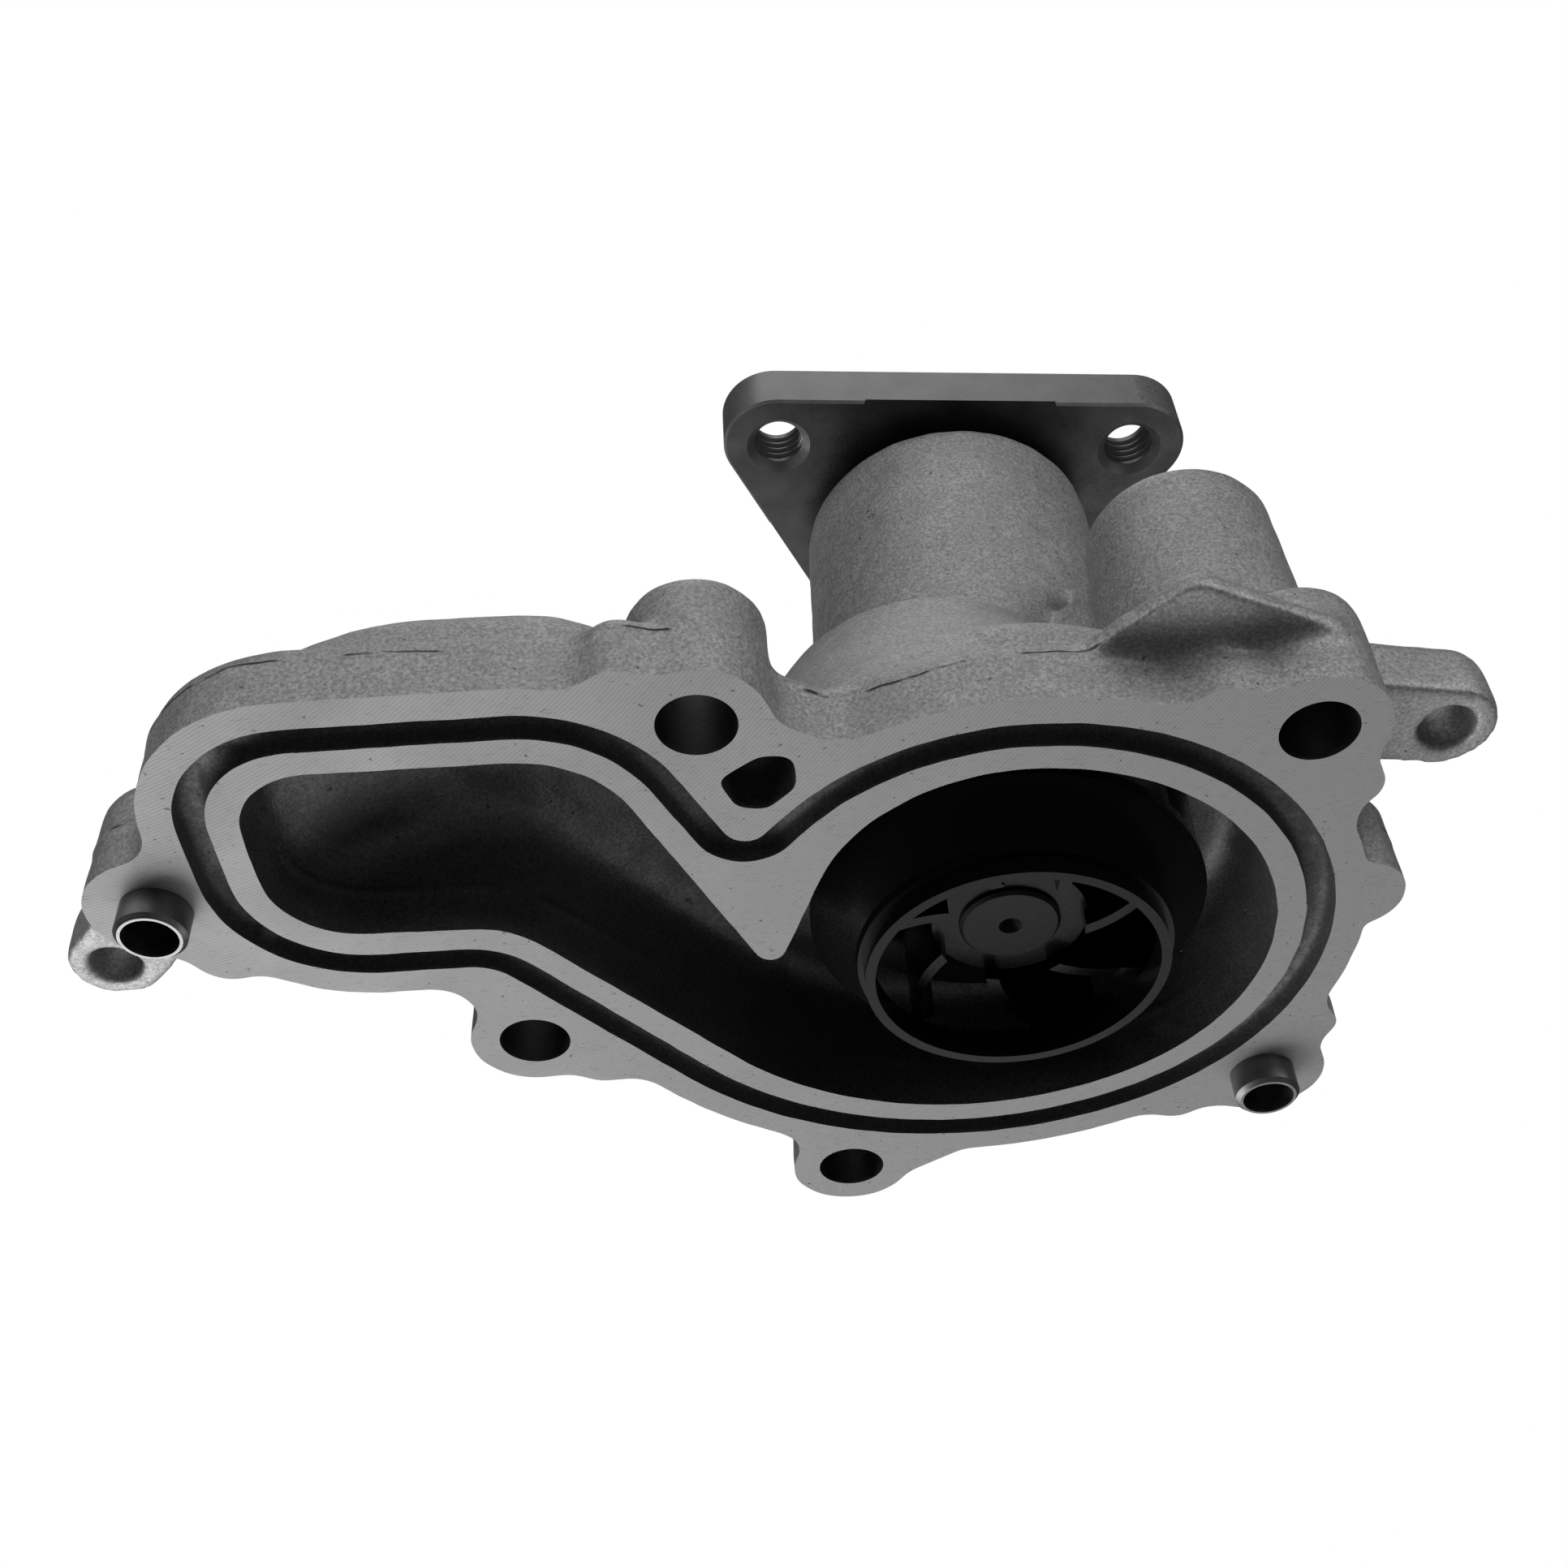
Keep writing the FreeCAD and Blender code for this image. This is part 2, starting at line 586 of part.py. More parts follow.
def make_lip_seals():
    thick = mm("{lip_seal_thick}")
    inner = mm("{shaft_radius} + {lip_gap}")
    outer = mm(RACE_BORE)
    low = ring("bearing_seal_inner", outer, inner, thick, mm(BEARING_START + " + 0.6 mm"))
    high = ring("bearing_seal_outer", outer, inner, thick,
                mm("{snout_top} - {bearing_top_gap} - 0.6 mm - {lip_seal_thick}"))
    return [low, high]


def revolved(name, points):
    """Ring turned from a closed section of (radius, z) points."""
    profile = Part.makePolygon([Vector(radius, 0, z) for radius, z in points + points[:1]])
    return feature(name, Part.Face(profile).revolve(Vector(0, 0, 0), Vector(0, 0, 1), 360))


def faceted_coil(mean, wire, low, rise, turns):
    """Coil of six-sided wire, in straight lengths, with flat triangles for faces."""
    steps = turns * SPRING_STEPS
    rings = []
    for step in range(steps + 1):
        turn = math.radians(360.0 * step / SPRING_STEPS)
        ring_points = []
        for a in range(0, 360, 60):
            reach = mean + wire * math.cos(math.radians(a))
            height = low + rise * step / steps + wire * math.sin(math.radians(a))
            ring_points.append(Vector(reach * math.cos(turn), reach * math.sin(turn), height))
        rings.append(ring_points)
    corners = [(rings[0][0], rings[0][i], rings[0][i + 1]) for i in range(1, 5)]
    corners += [(rings[-1][0], rings[-1][i + 1], rings[-1][i]) for i in range(1, 5)]
    for here, there in zip(rings, rings[1:]):
        for i in range(6):
            j = (i + 1) % 6
            corners += [(here[i], there[i], there[j]), (here[i], there[j], here[j])]
    faces = [Part.Face(Part.makePolygon([a, b, c, a])) for a, b, c in corners]
    coil = Part.Solid(Part.Shell(faces))
    coil.fix(TOUCHING, TOUCHING, TOUCHING)
    return coil


def make_seal():
    """Cartridge seal: fixed case, bellows, spring and carbon; turning sleeve, cup and seat."""
    seat = size("chamber_depth")
    sheet_thick = size("sheet_thick")
    sleeve, ring_in, ring_out, outer = seal_radii()
    case_end = seat + size("seal_case_long")
    rest = 0.2
    face = seat + 1.6 + size("seat_thick")            # where the two faces rub
    carbon_end = face + size("carbon_thick")
    case = revolved("seal_case", [
        (outer - sheet_thick, seat), (outer + size("seal_flange_wide"), seat),
        (outer + size("seal_flange_wide"), seat + sheet_thick), (outer, seat + sheet_thick),
        (outer, case_end),
        (sleeve + rest, case_end), (sleeve + rest, case_end - sheet_thick),
        (outer - sheet_thick, case_end - sheet_thick)])
    cup_floor = seat + 1.0
    collar = revolved("seal_sleeve", [
        (size("shaft_radius"), cup_floor), (ring_out, cup_floor),
        (ring_out, cup_floor + 0.3), (sleeve, cup_floor + 0.3), (sleeve, case_end + 1.0),
        (size("shaft_radius"), case_end + 1.0)])
    cup = revolved("seat_cup", [
        (sleeve, cup_floor + 0.3), (ring_out, cup_floor + 0.3),
        (ring_out, cup_floor + 0.6), (ring_in, cup_floor + 0.6),
        (ring_in, face - 0.6), (sleeve, face - 0.6)])
    ring_seat = revolved("seal_seat_ring", [
        (ring_in, cup_floor + 0.6), (ring_out, cup_floor + 0.6),
        (ring_out, face), (ring_in, face)])
    carbon = revolved("carbon_ring", [
        (ring_in + 0.5, face + size("run_gap")),
        (ring_out - 0.7, face + size("run_gap")),
        (ring_out - 0.7, face + 1.2), (ring_out, face + 1.2),
        (ring_out, carbon_end), (ring_in, carbon_end),
        (ring_in, face + 1.2), (ring_in + 0.5, face + 1.2)])
    skin = 0.8
    middle = (carbon_end + case_end - sheet_thick) / 2
    last = case_end - sheet_thick
    bellows = revolved("seal_bellows", [
        (ring_in, carbon_end), (ring_out, carbon_end), (ring_out, carbon_end + skin),
        (ring_in + 1.8 + skin, middle), (ring_out, last - skin), (ring_out, last),
        (ring_in, last), (ring_in, last - skin), (ring_in + 0.8, middle), (ring_in, carbon_end + skin)])
    wire = size("spring_wire")
    mean = (ring_out + outer - sheet_thick) / 2
    room = last - wire - (carbon_end + wire)
    turns = max(1, int(room / (2 * wire + size("spring_gap"))))
    spring = feature("seal_spring", faceted_coil(mean, wire, carbon_end + wire, room, turns))
    return [case, collar, cup, ring_seat, carbon, bellows, spring]


def make_impeller():
    """Closed impeller: moulded disc with vanes, welded shroud and a metal insert."""
    disc_top = size("chamber_depth") - size("disc_gap")
    disc_low = disc_top - size("disc_thick")
    radius = size("impeller_radius")
    eye = size("eye_radius")
    wall = size("eye_wall")
    thick = size("shroud_thick")
    edge = size("shroud_edge")
    face = size("eye_face")
    nose = size("shaft_nose_radius")
    insert = nose + size("insert_thick")
    boss = insert + 1.6
    hub_low = size("shaft_bottom") + 0.8
    neck = face + 3.4
    shroud = revolved("impeller_shroud", [
        (eye, face), (eye + wall, face), (eye + wall, face + 2.4), (eye + wall + 0.7, face + 2.4),
        (eye + wall + 0.9, neck), (radius, edge - 0.4), (radius, edge + thick - 0.4),
        (eye + wall, neck + thick), (eye, neck)])
    vane_count = int(size("vane_count"))
    half = size("vane_thick") / 2
    inner_reach = boss - 0.5
    points = []
    sweep = 42.0
    for side in (1, -1):
        row = []
        for step in range(5):
            share = step / 4.0
            reach = inner_reach + share * (radius - inner_reach)
            turn = math.radians(-sweep * share)
            along = Vector(reach * math.cos(turn), reach * math.sin(turn), 0)
            across = Vector(-along.y, along.x, 0).normalize() * (half * side)
            row.append(along + across)
        points.append(row)
    first = Part.BSplineCurve()
    first.interpolate(points[0])
    second = Part.BSplineCurve()
    second.interpolate(points[1])
    outline = Part.Wire([first.toShape(), Part.makeLine(points[0][-1], points[1][-1]), second.toShape(),
                         Part.makeLine(points[1][0], points[0][0])])
    vane = Part.Face(outline).extrude(Vector(0, 0, disc_low + 0.4))
    # the vanes end on the shroud's inner cone
    above = Part.Face(Part.makePolygon([Vector(r, 0, z) for r, z in (
        (0, face + 6.0), (eye - 1.0, neck + thick + 0.6), (eye + wall, neck + thick),
        (radius, edge + thick - 0.4), (radius, disc_low + 1.0), (0, disc_low + 1.0), (0, face + 6.0))]))
    above = above.revolve(Vector(0, 0, 0), Vector(0, 0, 1), 360)
    vanes = [blade.common(above) for blade in around(vane, vane_count)]
    back = Part.makeCylinder(radius, size("disc_thick"), Vector(0, 0, disc_low))
    hub = Part.makeCone(boss, boss + 2.0, disc_low - hub_low + 0.2, Vector(0, 0, hub_low))
    hole = Part.makeCylinder(insert, 60, Vector(0, 0, -20))
    wheel = back.multiFuse([hub] + vanes).cut(hole).removeSplitter()
    bush = revolved("impeller_insert", [(nose, hub_low), (insert, hub_low), (insert, disc_top),
                                        (nose, disc_top)])
    return [feature("impeller_disc", wheel), shroud, bush]


def make_hub_flange():
    """Triangular flange with three threaded holes, pressed on the shaft's outer end."""
    low = hub_bottom()
    thick = size("hub_thick")
    side = size("hub_side")
    corner = size("hub_corner_radius")
    reach = 2 * side                                   # sharp corner of the triangle
    corners = [(reach * math.cos(math.radians(a)), reach * math.sin(math.radians(a)), corner)
               for a in CORNER_ANGLES]
    plate = raised(Part.Face(rounded_loop(corners)), low, low + thick)
    rims = [edge for edge in plate.Edges if edge.BoundBox.ZLength < 0.001]
    plate = plate.makeChamfer(0.35, rims)
    # the underside is set back between the three corner pads
    pad_edge = size("hub_pad_edge")
    relief_corner = [(-2 * pad_edge * math.cos(math.radians(a)), -2 * pad_edge * math.sin(math.radians(a)))
                     for a in CORNER_ANGLES]
    relief = Part.Face(Part.makePolygon([Vector(x, y, 0) for x, y in relief_corner + relief_corner[:1]]))
    plate = plate.cut(raised(relief, low - 1.0, low + size("hub_relief")))
    bore = Part.makeCylinder(size("shaft_radius"), thick + 4, Vector(0, 0, low - 2))
    plate = plate.cut(bore)
    pitch = size("thread_pitch")
    minor = size("thread_minor")
    major = size("thread_major")
    mouth = size("thread_mouth")
    turns = int(thick / pitch) + 1
    holes = []
    for a in CORNER_ANGLES:
        x = size("hub_hole_circle") * math.cos(math.radians(a))
        y = size("hub_hole_circle") * math.sin(math.radians(a))
        # ridged bore: one groove per thread pitch, with a chamfered mouth at each end
        section = [(0, low - 1), (major + mouth, low - 1), (major + mouth, low),
                   (minor, low + major + mouth - minor)]
        for turn in range(1, turns):
            z = low + 0.9 + turn * pitch
            if z + pitch / 2 < low + thick - mouth:
                section += [(minor, z - pitch * 0.4), (major, z - pitch * 0.06), (major, z + pitch * 0.06),
                            (minor, z + pitch * 0.4)]
        section += [(minor, low + thick - mouth), (major + 0.1, low + thick), (major + 0.1, low + thick + 1),
                    (0, low + thick + 1)]
        profile = Part.makePolygon([Vector(r, 0, z) for r, z in section + section[:1]])
        tool = Part.Face(profile).revolve(Vector(0, 0, 0), Vector(0, 0, 1), 360)
        tool.translate(Vector(x, y, 0))
        holes.append(tool)
    plate = plate.cut(Part.makeCompound(holes))
    plate.rotate(Vector(0, 0, 0), Vector(0, 0, 1), size("hub_turn"))
    return feature("hub_flange", plate)


def make_reservoir_plug():
    """Pressed sheet cup that closes the weep reservoir."""
    radius = size("reservoir_bore")
    wall = size("plug_wall")
    top = size("reservoir_top") - 0.6
    low = top - size("plug_deep")
    profile = Part.makePolygon([Vector(r, 0, z) for r, z in (
        (0, low), (radius, low), (radius, top), (radius - wall, top), (radius - wall, low + wall),
        (0, low + wall), (0, low))])
    body = feature("reservoir_plug", Part.Face(profile).revolve(Vector(0, 0, 0), Vector(0, 0, 1), 360))
    body.Placement.Base = Vector(RESERVOIR[0], RESERVOIR[1], 0)
    return body


parts = [make_housing(), make_dowel("left"), make_dowel("right"), make_outer_race(), make_shaft()]
parts += make_rolling_rows()
parts += make_lip_seals()
parts += make_seal()
parts += make_impeller()
parts += [make_hub_flange(), make_reservoir_plug()]
doc.recompute()

for item in doc.Objects:
    if "Invalid" in item.State or "Error" in item.State:
        raise RuntimeError("%s did not build" % item.Name)
for item in parts:
    item.Label = item.Name
    if item.Shape.isNull() or not item.Shape.isValid() or not item.Shape.Solids:
        raise RuntimeError("%s has no sound solid" % item.Name)

os.makedirs("parts", exist_ok=True)
for item in parts:
    item.Shape.exportStep("parts/%s.step" % item.Label)
    print("%-22s %3d solid %10.1f mm3" % (item.Label, len(item.Shape.Solids), item.Shape.Volume))
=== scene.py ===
import json
import math

import bmesh
import bpy
import numpy as np
from mathutils import Matrix, Vector, noise

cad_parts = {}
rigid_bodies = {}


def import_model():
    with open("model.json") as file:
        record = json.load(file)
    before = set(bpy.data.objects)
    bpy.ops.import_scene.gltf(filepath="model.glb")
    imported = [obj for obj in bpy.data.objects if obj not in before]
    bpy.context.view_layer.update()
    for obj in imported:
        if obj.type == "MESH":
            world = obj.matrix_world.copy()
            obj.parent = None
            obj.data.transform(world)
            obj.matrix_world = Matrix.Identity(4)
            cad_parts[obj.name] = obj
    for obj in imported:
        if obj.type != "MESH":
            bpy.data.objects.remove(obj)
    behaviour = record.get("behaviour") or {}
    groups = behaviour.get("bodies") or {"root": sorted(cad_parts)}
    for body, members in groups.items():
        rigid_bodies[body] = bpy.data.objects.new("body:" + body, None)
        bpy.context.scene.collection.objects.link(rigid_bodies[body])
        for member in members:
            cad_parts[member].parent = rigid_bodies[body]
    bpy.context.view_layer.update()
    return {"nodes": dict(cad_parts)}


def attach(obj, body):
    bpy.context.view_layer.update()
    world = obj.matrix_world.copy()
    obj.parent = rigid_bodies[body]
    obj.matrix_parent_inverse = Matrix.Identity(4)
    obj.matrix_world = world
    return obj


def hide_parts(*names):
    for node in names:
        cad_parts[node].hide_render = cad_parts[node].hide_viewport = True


# the start-up file's own cube, lamp and camera go first
for stray in list(bpy.data.objects):
    bpy.data.objects.remove(stray)
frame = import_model()
nodes = frame["nodes"]
mm = 0.001
print("frame loaded:", len(nodes), "nodes")


def newPiece(name, mesh, body, replaced=()):
    # links a mesh, hangs it on its body and hides the CAD parts it replaces
    piece = bpy.data.objects.new(name, mesh)
    bpy.context.scene.collection.objects.link(piece)
    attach(piece, body)
    if replaced:
        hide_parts(*replaced)
    return piece


def applyModifiers(piece):
    # bakes the modifier stack into the mesh, so nothing is left to evaluate
    graph = bpy.context.evaluated_depsgraph_get()
    baked = bpy.data.meshes.new_from_object(piece.evaluated_get(graph))
    piece.modifiers.clear()
    piece.data = baked
    return piece


def meshFromBmesh(name, work):
    mesh = bpy.data.meshes.new(name)
    work.to_mesh(mesh)
    work.free()
    return mesh


def cylinderMesh(name, place, radius, low, high, steps=96):
    work = bmesh.new()
    middle = Matrix.Translation(Vector((place[0], place[1], (low + high) / 2)) * mm)
    bmesh.ops.create_cone(work, cap_ends=True, segments=steps, radius1=radius * mm, radius2=radius * mm,
                          depth=(high - low) * mm, matrix=middle)
    return meshFromBmesh(name, work)


def shadeSmooth(mesh, angle):
    mesh.shade_smooth()
    mesh.set_sharp_from_angle(angle=math.radians(angle))


class Shader:
    # a material being wired: nodes are added by short calls

    def __init__(self, name):
        self.material = bpy.data.materials.new(name)
        self.material.use_nodes = True
        self.tree = self.material.node_tree
        self.surface = self.tree.nodes["Principled BSDF"]
        coords = self.tree.nodes.new("ShaderNodeTexCoord")
        self.place = coords.outputs["Object"]
        self.normal = coords.outputs["Normal"]

    def node(self, kind, **inputs):
        made = self.tree.nodes.new(kind)
        for key, value in inputs.items():
            self.feed(made.inputs[key], value)
        return made

    def feed(self, socket, value):
        if isinstance(value, bpy.types.NodeSocket):
            self.tree.links.new(value, socket)
        else:
            socket.default_value = value

    def stretched(self, scale, turn=(0, 0, 0), shift=(0, 0, 0)):
        mapping = self.node("ShaderNodeMapping", Vector=self.place, Scale=scale, Rotation=turn,
                            Location=shift)
        return mapping.outputs["Vector"]

    def noise(self, size, detail=3.0, rough=0.55, where=None):
        # size is the width of one blotch in millimetres
        made = self.node("ShaderNodeTexNoise", Vector=where or self.place, Scale=1 / (size * mm),
                         Detail=detail, Roughness=rough)
        return made.outputs["Fac"]

    def ramp(self, value, low, high, outLow=0.0, outHigh=1.0):
        made = self.tree.nodes.new("ShaderNodeMapRange")
        self.feed(made.inputs["Value"], value)
        self.feed(made.inputs["From Min"], low)
        self.feed(made.inputs["From Max"], high)
        self.feed(made.inputs["To Min"], outLow)
        self.feed(made.inputs["To Max"], outHigh)
        return made.outputs["Result"]

    def math(self, operation, first, second=0.0):
        made = self.tree.nodes.new("ShaderNodeMath")
        made.operation = operation
        self.feed(made.inputs[0], first)
        self.feed(made.inputs[1], second)
        return made.outputs[0]

    def mix(self, factor, first, second):
        made = self.tree.nodes.new("ShaderNodeMix")
        made.data_type = "RGBA"
        self.feed(made.inputs["Factor"], factor)
        self.feed(made.inputs["A"], first)
        self.feed(made.inputs["B"], second)
        return made.outputs["Result"]

    def bump(self, height, depth):
        # depth in millimetres for a height of one
        return self.node("ShaderNodeBump", Height=height, Distance=depth * mm, Strength=1.0).outputs["Normal"]

    def finish(self, **inputs):
        for key, value in inputs.items():
            self.feed(self.surface.inputs[key.replace("_", " ")], value)
        return self.material


def grey(value):
    return (value, value, value * 1.01, 1.0)


# finishes: tones are linear grey, sizes and depths are in millimetres
castFinish = {
    "dark": 0.19, "light": 0.43,      # colour of the grain
    "grain": 0.40, "grainDepth": 0.07,      # millimetres
    "blotch": 6.0,
    "rough": 0.52,
    "metallic": 0.55,
    "crackLevel": 6.4,                # millimetres above the face
}


# a tone below one darkens the whole skin; the chamber and groove copies use it as painted shade
def makeCastSkin(name, finish, tone=1.0):
    s = Shader(name)
    fine = s.noise(finish["grain"], 4.0, 0.7)
    coarse = s.noise(finish["grain"] * 3.1, 3.0)
    blotch = s.noise(finish["blotch"], 4.0)
    speck = s.ramp(fine, 0.38, 0.66)
    colour = s.mix(speck, grey(finish["dark"] * tone), grey(finish["light"] * tone))
    shade = s.ramp(blotch, 0.3, 0.7, 0.0, 0.35)
    colour = s.mix(shade, colour, grey(finish["dark"] * tone))
    height = s.math("ADD", fine, s.math("MULTIPLY", coarse, 0.8))
    rough = s.ramp(coarse, 0.3, 0.7, finish["rough"] - 0.07, finish["rough"] + 0.1)
    # dark cracks along the parting line, only in places
    split = s.node("ShaderNodeSeparateXYZ", Vector=s.place)
    wander = s.math("MULTIPLY", s.math("SUBTRACT", s.noise(11.0, 3.0), 0.5), 2.4 * mm)
    level = s.math("SUBTRACT", split.outputs["Z"], finish["crackLevel"] * mm)
    apart = s.math("ABSOLUTE", s.math("SUBTRACT", level, wander))
    line = s.ramp(apart, 0.08 * mm, 0.22 * mm, 1.0, 0.0)
    there = s.ramp(s.noise(7.0, 3.0), 0.49, 0.56)
    lean = s.node("ShaderNodeSeparateXYZ", Vector=s.normal)
    upright = s.ramp(s.math("ABSOLUTE", lean.outputs["Z"]), 0.35, 0.60, 0.95, 0.0)
    crack = s.math("MULTIPLY", s.math("MULTIPLY", line, there), upright)
    colour = s.mix(crack, colour, grey(0.02))
    height = s.math("SUBTRACT", height, s.math("MULTIPLY", crack, 3.0))
    pore = s.ramp(s.noise(1.3, 2.0, 0.6), 0.72, 0.76)
    colour = s.mix(s.math("MULTIPLY", pore, 0.6), colour, grey(0.05))
    height = s.math("SUBTRACT", height, s.math("MULTIPLY", pore, 2.0))
    return s.finish(Base_Color=colour, Roughness=rough, Metallic=finish["metallic"],
                    Normal=s.bump(height, finish["grainDepth"]))


milledFinish = {
    "pitch": 0.42,                    # one cutter mark, millimetres
    "dark": 0.20, "light": 0.29,
    "rough": 0.62,
    "markDepth": 0.012,
}


def makeMilledFace(name, finish):
    s = Shader(name)
    arcs = s.node("ShaderNodeTexWave", Vector=s.stretched((1, 1, 0.0), shift=(0.13, 0.12, 0)),
                  Scale=2 * math.pi / (20 * finish["pitch"] * mm), Distortion=1.2, Detail=2.0)
    arcs.wave_type = "RINGS"
    arcs.rings_direction = "Z"
    arcs.inputs["Detail Scale"].default_value = 0.3
    marks = arcs.outputs["Fac"]
    uneven = s.noise(14.0, 3.0)
    fine = s.noise(0.25, 3.0)
    tone = s.math("ADD", s.math("MULTIPLY", marks, 0.35), s.math("MULTIPLY", uneven, 0.5))
    tone = s.math("ADD", tone, s.math("MULTIPLY", s.noise(1.1, 4.0, 0.7), 0.3))
    colour = s.mix(s.ramp(tone, 0.25, 0.9), grey(finish["dark"]), grey(finish["light"]))
    scratch = s.noise(1.0, 1.0, 0.5, s.stretched((0.5, 14, 1), turn=(0, 0, 0.7)))
    scratchMask = s.ramp(scratch, 0.70, 0.74)
    pit = s.ramp(s.noise(0.9, 2.0), 0.70, 0.73)
    wear = s.math("MAXIMUM", scratchMask, pit)
    colour = s.mix(s.math("MULTIPLY", wear, 0.75), colour, grey(0.06))
    height = s.math("SUBTRACT", marks, s.math("MULTIPLY", wear, 3.0))
    height = s.math("ADD", height, s.math("MULTIPLY", fine, 0.6))
    rough = s.ramp(uneven, 0.3, 0.7, finish["rough"] - 0.05, finish["rough"] + 0.08)
    return s.finish(Base_Color=colour, Roughness=rough, Metallic=0.45,
                    Normal=s.bump(height, finish["markDepth"]))


turnedFinish = {"pitch": 0.22, "dark": 0.36, "light": 0.62, "rough": 0.24, "markDepth": 0.003}


def makeTurned(name, finish, tone):
    # steel turned on a lathe: rings along the axis
    s = Shader(name)
    rings = s.node("ShaderNodeTexWave", Vector=s.place, Scale=2 * math.pi / (20 * finish["pitch"] * mm),
                   Distortion=1.5, Detail=2.0)
    rings.wave_type = "BANDS"
    rings.bands_direction = "Z"
    stain = s.noise(3.0, 4.0)
    shade = s.math("ADD", s.math("MULTIPLY", rings.outputs["Fac"], 0.3), stain)
    colour = s.mix(s.ramp(shade, 0.4, 0.95), grey(finish["dark"] * tone), grey(finish["light"] * tone))
    rough = s.ramp(stain, 0.3, 0.7, finish["rough"] - 0.05, finish["rough"] + 0.12)
    height = s.math("ADD", rings.outputs["Fac"], s.noise(0.3, 2.0))
    return s.finish(Base_Color=colour, Roughness=rough, Metallic=1.0,
                    Normal=s.bump(height, finish["markDepth"]))


hubFinish = {
    "edge": 0.21, "edgeLight": 0.29,
    "face": 0.030, "faceLight": 0.055,       # dark oxide on the flat sides
    "rough": 0.36,
}


def makeHubSteel(name, finish):
    s = Shader(name)
    split = s.node("ShaderNodeSeparateXYZ", Vector=s.normal)
    flat = s.ramp(s.math("ABSOLUTE", split.outputs["Z"]), 0.80, 0.95)
    stain = s.noise(5.0, 4.0)
    fine = s.noise(0.3, 3.0)
    grain = s.noise(1.0, 2.0, 0.5, s.stretched((1, 1, 30)))
    edgeTone = s.math("ADD", s.math("MULTIPLY", grain, 0.6), s.math("MULTIPLY", stain, 0.5))
    edge = s.mix(s.ramp(edgeTone, 0.35, 0.75), grey(finish["edge"]), grey(finish["edgeLight"]))
    face = s.mix(s.ramp(stain, 0.3, 0.7), grey(finish["face"]), grey(finish["faceLight"]))
    colour = s.mix(flat, edge, face)
    rough = s.ramp(fine, 0.3, 0.7, finish["rough"] - 0.04, finish["rough"] + 0.1)
    return s.finish(Base_Color=colour, Roughness=rough, Metallic=0.85, Normal=s.bump(fine, 0.006))


plasticFinish = {"dark": 0.003, "light": 0.005, "rough": 0.24, "gloss": 0.10}


def makeMoulded(name, finish):
    s = Shader(name)
    flow = s.noise(7.0, 3.0)
    fine = s.noise(0.5, 3.0)
    colour = s.mix(flow, grey(finish["dark"]), grey(finish["light"]))
    dust = s.ramp(s.noise(0.45, 4.0, 0.7), 0.70, 0.78)
    colour = s.mix(s.math("MULTIPLY", dust, 0.05), colour, grey(0.3))
    rough = s.ramp(fine, 0.3, 0.7, finish["rough"] - 0.04, finish["rough"] + 0.07)
    return s.finish(Base_Color=colour, Roughness=rough, Specular_IOR_Level=finish["gloss"],
                    Normal=s.bump(fine, 0.006))


def makePlain(name, tone, rough, metallic=0.0, grain=0.4):
    # simple parts inside the pump, still with some grain of their own
    s = Shader(name)
    fine = s.noise(grain, 3.0)
    blotch = s.noise(grain * 12, 3.0)
    colour = s.mix(blotch, grey(tone * 0.85), grey(tone * 1.12))
    return s.finish(Base_Color=colour, Roughness=s.ramp(fine, 0.3, 0.7, rough - 0.05, rough + 0.08),
                    Metallic=metallic, Normal=s.bump(fine, 0.01))


castSkin = makeCastSkin("castSkin", castFinish)
uncracked = {**castFinish, "crackLevel": -50.0}       # a level the part never reaches
# painted shade: the chamber gets the cast skin darkened to a tone of 0.36, the groove and slot to 0.30
chamberSkinPaintedShade = makeCastSkin("chamberSkinPaintedShade", {**uncracked, "rough": 0.38}, 0.36)
grooveSkinPaintedShade = makeCastSkin("grooveSkinPaintedShade", {**uncracked, "rough": 0.60}, 0.30)
milledFace = makeMilledFace("milledFace", milledFinish)
boredWall = makeTurned("boredWall", {**turnedFinish, "pitch": 0.35, "rough": 0.50, "markDepth": 0.01}, 0.13)
dowelSteel = makeTurned("dowelSteel", {**turnedFinish, "rough": 0.40}, 0.34)
shaftSteel = makeTurned("shaftSteel", {**turnedFinish, "rough": 0.50}, 0.045)
bearingSteel = makeTurned("bearingSteel", {**turnedFinish, "rough": 0.18}, 1.0)
hubSteel = makeHubSteel("hubSteel", hubFinish)
mouldedBlack = makeMoulded("mouldedBlack", plasticFinish)
sealRubber = makePlain("sealRubber", 0.02, 0.6)
pressedSheet = makePlain("pressedSheet", 0.45, 0.34, 0.9)
cageNylon = makePlain("cageNylon", 0.5, 0.5)
ceramic = makePlain("ceramic", 0.75, 0.3)
carbon = makePlain("carbon", 0.03, 0.3)
print("finishes made")


# the casting: its blank is softened as foundry work is, then machined
castShape = {
    "voxel": 0.5,
    "softening": 16,                  # passes of smoothing
    "skirt": 3.0,                     # stock left below the face before milling
    "partingLevel": 6.4,
    "flashProud": 0.22,
    "flashHalf": 0.45,
    "ripple": 0.09, "rippleSize": 3.0,
    "smoothAngle": 50,
}
pocket = {
    # the outlet pocket and its throat, seen from the face
    "outline": [(-86.0, -38.8), (-44.0, -38.8), (-27.0, -5.0), (-27.0, 28.0), (-58.0, -8.0), (-86.0, -8.5)],
    "low": 1.0, "high": 18.5,         # levels between which it is softened
    "roof": 18.0, "roofSpare": 1.5,
    "slopeStart": -62.0, "slope": 0.5,        # where the roof falls away, and how fast
    "throat": -24.0,                  # the softening fades out towards this X
    "fadeUp": 4.0, "fadeAcross": 8.0,
    "softening": 300,
}
web = {"boss": (24.0, -25.2), "from": 17.2, "to": 24.4, "width": 7.2, "low": 22.0, "high": 43.0}
